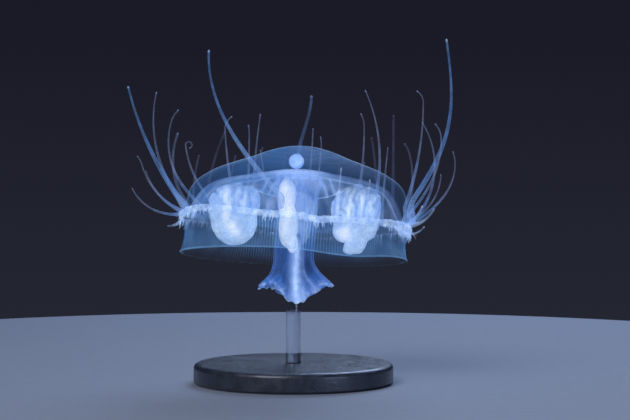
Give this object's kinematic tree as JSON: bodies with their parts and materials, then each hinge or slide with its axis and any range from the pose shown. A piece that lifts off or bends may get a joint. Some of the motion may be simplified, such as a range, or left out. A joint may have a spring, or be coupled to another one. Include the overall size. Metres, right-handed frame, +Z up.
{
  "type": "jellyfish model",
  "caption": "Life-size freshwater jellyfish swimming with raised tentacles, held on a round base by a slim clear rod.",
  "frame": {"origin": "centre of the stand base's underside", "axes": "+Z up from the base to the animal, +X to the animal's right as seen from the front, +Y away from the front"},
  "size_m": [0.0331, 0.0261, 0.0343],
  "materials": {
    "stand_paint": "satin slate-grey paint",
    "stand_acrylic": "clear polished acrylic",
    "bell_jelly": "wet, clear blue jelly",
    "stomach_tissue": "wet, milky",
    "stalk_tissue": "wet, translucent",
    "velum_membrane": "thin clear membrane",
    "gonad_tissue": "wet, milky, finely folded",
    "ring_tissue": "wet, opaque white-blue",
    "tentacle_tissue": "wet, translucent"
  },
  "bodies": {
    "root": {"bell": "bell_jelly", "gonad_back": "gonad_tissue", "gonad_front": "gonad_tissue", "gonad_left": "gonad_tissue", "gonad_right": "gonad_tissue", "manubrium": "stalk_tissue", "nettle_ring_back_left": "ring_tissue", "nettle_ring_back_right": "ring_tissue", "nettle_ring_front_left": "ring_tissue", "nettle_ring_front_right": "ring_tissue", "stand_base": "stand_paint", "stand_rod": "stand_acrylic", "stomach": "stomach_tissue", "tentacle_back_middle": "tentacle_tissue", "tentacle_back_root": "tentacle_tissue", "tentacle_back_tip": "tentacle_tissue", "tentacle_front_middle": "tentacle_tissue", "tentacle_front_root": "tentacle_tissue", "tentacle_front_tip": "tentacle_tissue", "tentacle_left_middle": "tentacle_tissue", "tentacle_left_root": "tentacle_tissue", "tentacle_left_tip": "tentacle_tissue", "tentacle_medium_01": "tentacle_tissue", "tentacle_medium_02": "tentacle_tissue", "tentacle_medium_03": "tentacle_tissue", "tentacle_medium_04": "tentacle_tissue", "tentacle_medium_05": "tentacle_tissue", "tentacle_medium_06": "tentacle_tissue", "tentacle_medium_07": "tentacle_tissue", "tentacle_medium_08": "tentacle_tissue", "tentacle_medium_09": "tentacle_tissue", "tentacle_medium_10": "tentacle_tissue", "tentacle_medium_11": "tentacle_tissue", "tentacle_medium_12": "tentacle_tissue", "tentacle_medium_13": "tentacle_tissue", "tentacle_medium_14": "tentacle_tissue", "tentacle_medium_15": "tentacle_tissue", "tentacle_medium_16": "tentacle_tissue", "tentacle_medium_17": "tentacle_tissue", "tentacle_medium_18": "tentacle_tissue", "tentacle_medium_19": "tentacle_tissue", "tentacle_medium_20": "tentacle_tissue", "tentacle_medium_21": "tentacle_tissue", "tentacle_medium_22": "tentacle_tissue", "tentacle_medium_23": "tentacle_tissue", "tentacle_medium_24": "tentacle_tissue", "tentacle_medium_25": "tentacle_tissue", "tentacle_medium_26": "tentacle_tissue", "tentacle_medium_27": "tentacle_tissue", "tentacle_medium_28": "tentacle_tissue", "tentacle_medium_29": "tentacle_tissue", "tentacle_medium_30": "tentacle_tissue", "tentacle_medium_31": "tentacle_tissue", "tentacle_right_middle": "tentacle_tissue", "tentacle_right_root": "tentacle_tissue", "tentacle_right_tip": "tentacle_tissue", "velum": "velum_membrane"}
  },
  "joints": []
}
